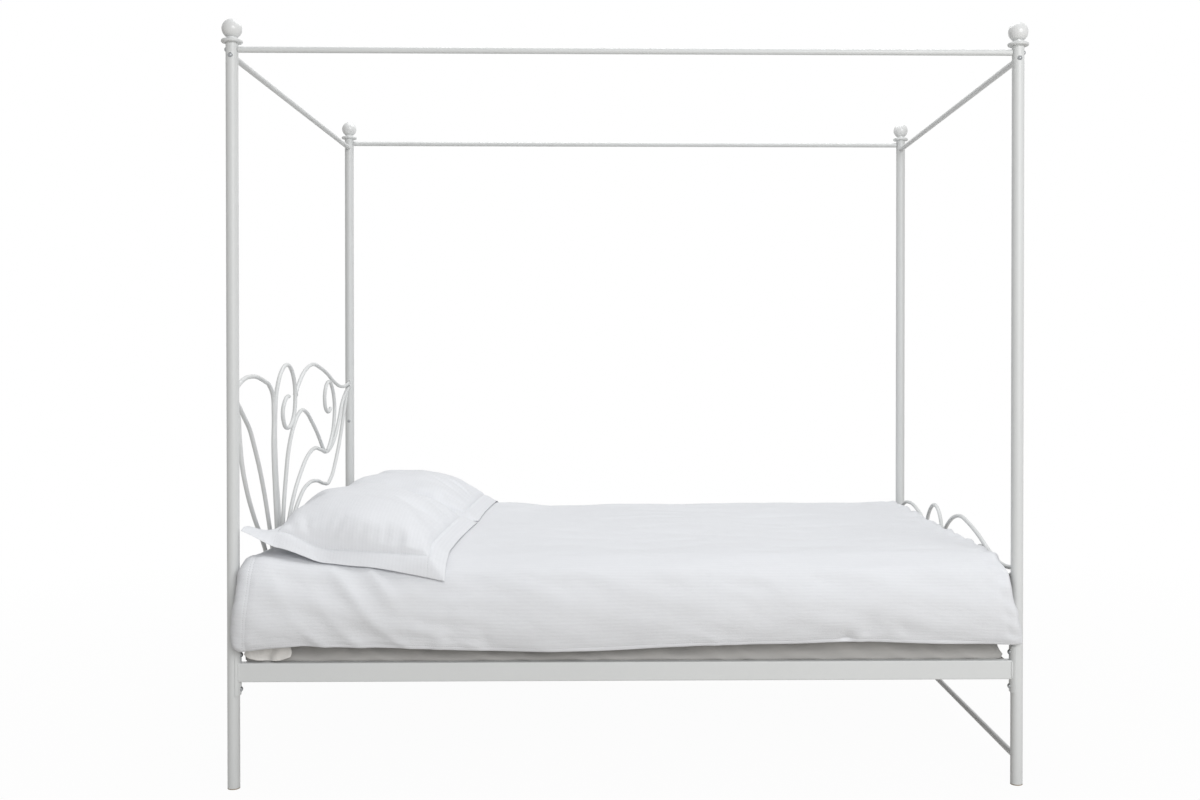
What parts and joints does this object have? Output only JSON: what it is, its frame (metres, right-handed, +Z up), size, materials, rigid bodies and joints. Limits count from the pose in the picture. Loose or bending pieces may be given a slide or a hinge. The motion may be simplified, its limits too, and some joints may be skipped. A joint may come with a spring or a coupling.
{
  "type": "four poster canopy bed",
  "caption": "White metal four poster bed with a round-tube canopy, ball finials, scrolled rod head and foot panels, a slatted base and white bedding.",
  "frame": {"origin": "on the floor, midway between the four posts", "axes": "+X from head to foot, +Y from the near side to the far side, +Z up"},
  "size_m": [2.115, 1.5494, 2.011],
  "materials": {
    "white_paint": "satin",
    "finial_paint": "gloss",
    "zinc": "satin",
    "foot_plastic": "matte",
    "slat_wood": "matte",
    "mattress_cover": "matte",
    "duvet_cotton": "matte",
    "pillow_cotton": "matte"
  },
  "bodies": {
    "frame": {"canopy_bolts": "zinc", "canopy_rail_far": "white_paint", "canopy_rail_foot": "white_paint", "canopy_rail_head": "white_paint", "canopy_rail_near": "white_paint", "canopy_rail_plugs": "zinc", "finial_collar_foot_far": "white_paint", "finial_collar_foot_near": "white_paint", "finial_collar_head_far": "white_paint", "finial_collar_head_near": "white_paint", "finial_studs": "zinc", "foot_cap_foot_far": "foot_plastic", "foot_cap_foot_near": "foot_plastic", "foot_cap_head_far": "foot_plastic", "foot_cap_head_near": "foot_plastic", "footboard_bottom_rail": "white_paint", "footboard_high_lobe": "white_paint", "footboard_inner_arch": "white_paint", "footboard_inner_fan": "white_paint", "footboard_low_lobe": "white_paint", "footboard_lower_sweep": "white_paint", "footboard_outer_fan": "white_paint", "footboard_small_scroll": "white_paint", "footboard_tall_scroll": "white_paint", "footboard_upper_sweep": "white_paint", "headboard_bottom_rail": "white_paint", "headboard_high_lobe": "white_paint", "headboard_inner_arch": "white_paint", "headboard_inner_fan": "white_paint", "headboard_low_lobe": "white_paint", "headboard_lower_sweep": "white_paint", "headboard_outer_fan": "white_paint", "headboard_small_scroll": "white_paint", "headboard_tall_scroll": "white_paint", "headboard_upper_sweep": "white_paint", "post_foot_far": "white_paint", "post_foot_near": "white_paint", "post_head_far": "white_paint", "post_head_near": "white_paint", "post_screws": "zinc", "post_top_plugs": "zinc", "rail_saddle_foot_far": "white_paint", "rail_saddle_foot_near": "white_paint", "rail_saddle_head_far": "white_paint", "rail_saddle_head_near": "white_paint", "saddle_bolts": "zinc", "saddle_nuts": "zinc", "side_rail_far": "white_paint", "side_rail_near": "white_paint", "slat_ledge_far": "white_paint", "slat_ledge_near": "white_paint", "slats": "slat_wood"},
    "mattress": {"mattress": "mattress_cover"},
    "duvet": {"duvet": "duvet_cotton"},
    "pillow_near": {"pillow_near": "pillow_cotton"},
    "pillow_far": {"pillow_far": "pillow_cotton"},
    "finial_head_near": {"finial_ball_head_near": "finial_paint"},
    "finial_head_far": {"finial_ball_head_far": "finial_paint"},
    "finial_foot_near": {"finial_ball_foot_near": "finial_paint"},
    "finial_foot_far": {"finial_ball_foot_far": "finial_paint"}
  },
  "joints": [
    {"name": "mattress_lift", "type": "slide", "parent": "frame", "child": "mattress", "axis": [0, 0, 1], "range_m": [0, 0.3]},
    {"name": "duvet_lift", "type": "slide", "parent": "mattress", "child": "duvet", "axis": [0, 0, 1], "range_m": [0, 0.3]},
    {"name": "pillow_near_lift", "type": "slide", "parent": "duvet", "child": "pillow_near", "axis": [0, 0, 1], "range_m": [0, 0.3]},
    {"name": "pillow_far_lift", "type": "slide", "parent": "duvet", "child": "pillow_far", "axis": [0, 0, 1], "range_m": [0, 0.3]},
    {"name": "finial_head_near_unscrew", "type": "slide", "parent": "frame", "child": "finial_head_near", "axis": [0, 0, 1], "range_m": [0, 0.03]},
    {"name": "finial_head_far_unscrew", "type": "slide", "parent": "frame", "child": "finial_head_far", "axis": [0, 0, 1], "range_m": [0, 0.03]},
    {"name": "finial_foot_near_unscrew", "type": "slide", "parent": "frame", "child": "finial_foot_near", "axis": [0, 0, 1], "range_m": [0, 0.03]},
    {"name": "finial_foot_far_unscrew", "type": "slide", "parent": "frame", "child": "finial_foot_far", "axis": [0, 0, 1], "range_m": [0, 0.03]}
  ]
}
